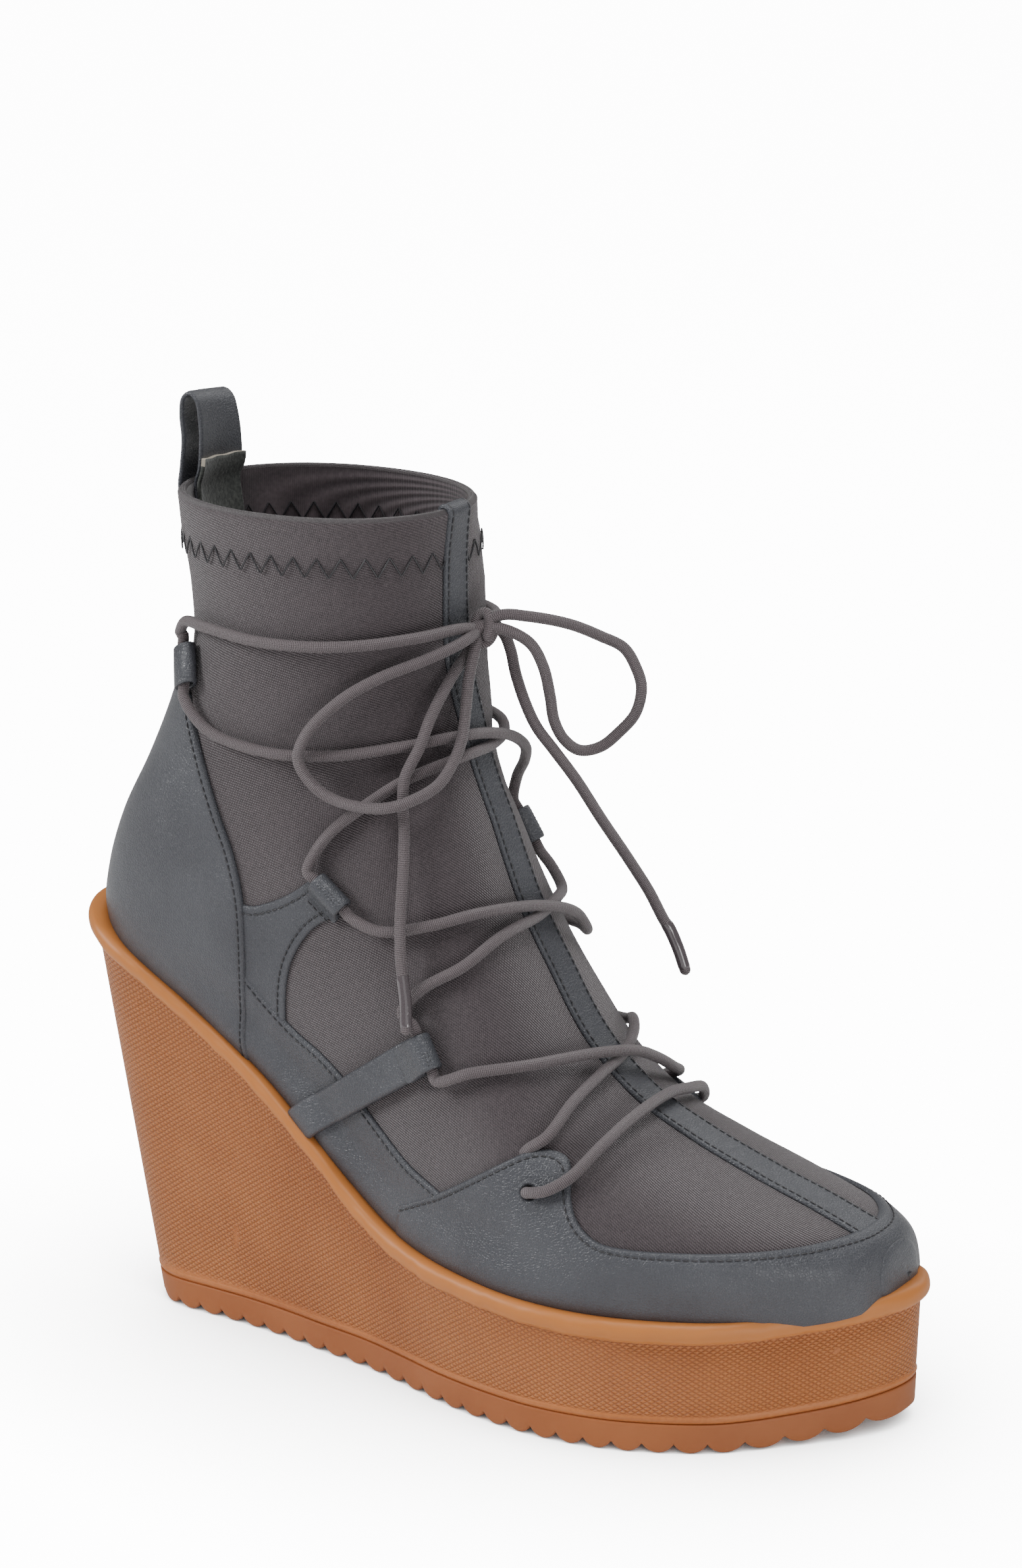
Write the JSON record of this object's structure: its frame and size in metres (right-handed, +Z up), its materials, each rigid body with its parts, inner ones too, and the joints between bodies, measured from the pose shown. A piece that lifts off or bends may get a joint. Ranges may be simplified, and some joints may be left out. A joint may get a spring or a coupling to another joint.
{
  "type": "wedge ankle boot",
  "caption": "Right lace-through stretch ankle boot with leather overlays, open at the collar, on a high rubber wedge with a scalloped tread.",
  "frame": {"origin": "on the floor under the middle of the boot's bounding box, without the free lace ends and bow", "axes": "+X from heel to toe, +Y to the inner side of the foot, +Z up"},
  "size_m": [0.2592, 0.098, 0.2698],
  "materials": {
    "gum_sole": "semi-matt gum rubber with a moulded cross-hatch",
    "gum_tread": "smooth semi-matt gum rubber",
    "stretch_fabric": "fine ribbed stretch twill",
    "sock_lining": "soft lining",
    "grey_leather": "smooth slate-grey leather with a fine grain",
    "round_lace": "round elastic lace with a ribbed satin sheath",
    "lace_film": "clear film over the lace's end"
  },
  "bodies": {
    "root": {"outsole": "gum_tread", "wedge": "gum_sole", "upper": "stretch_fabric", "insole": "sock_lining", "counter": "grey_leather", "mudguard": "grey_leather", "quarter_strip_lateral": "grey_leather", "side_tab_lateral": "grey_leather", "strap_loop_lateral": "grey_leather", "keeper_lateral": "grey_leather", "quarter_strip_medial": "grey_leather", "side_tab_medial": "grey_leather", "strap_loop_medial": "grey_leather", "keeper_medial": "grey_leather", "centre_strip": "grey_leather", "pull_loop": "grey_leather", "lace_bar": "round_lace", "lace_crossings": "round_lace", "lace_knot": "round_lace", "bow_loop_lateral": "round_lace", "bow_loop_medial": "round_lace", "lace_end_lateral": "round_lace", "aglet_lateral": "lace_film", "lace_end_medial": "round_lace", "aglet_medial": "lace_film"}
  },
  "joints": []
}
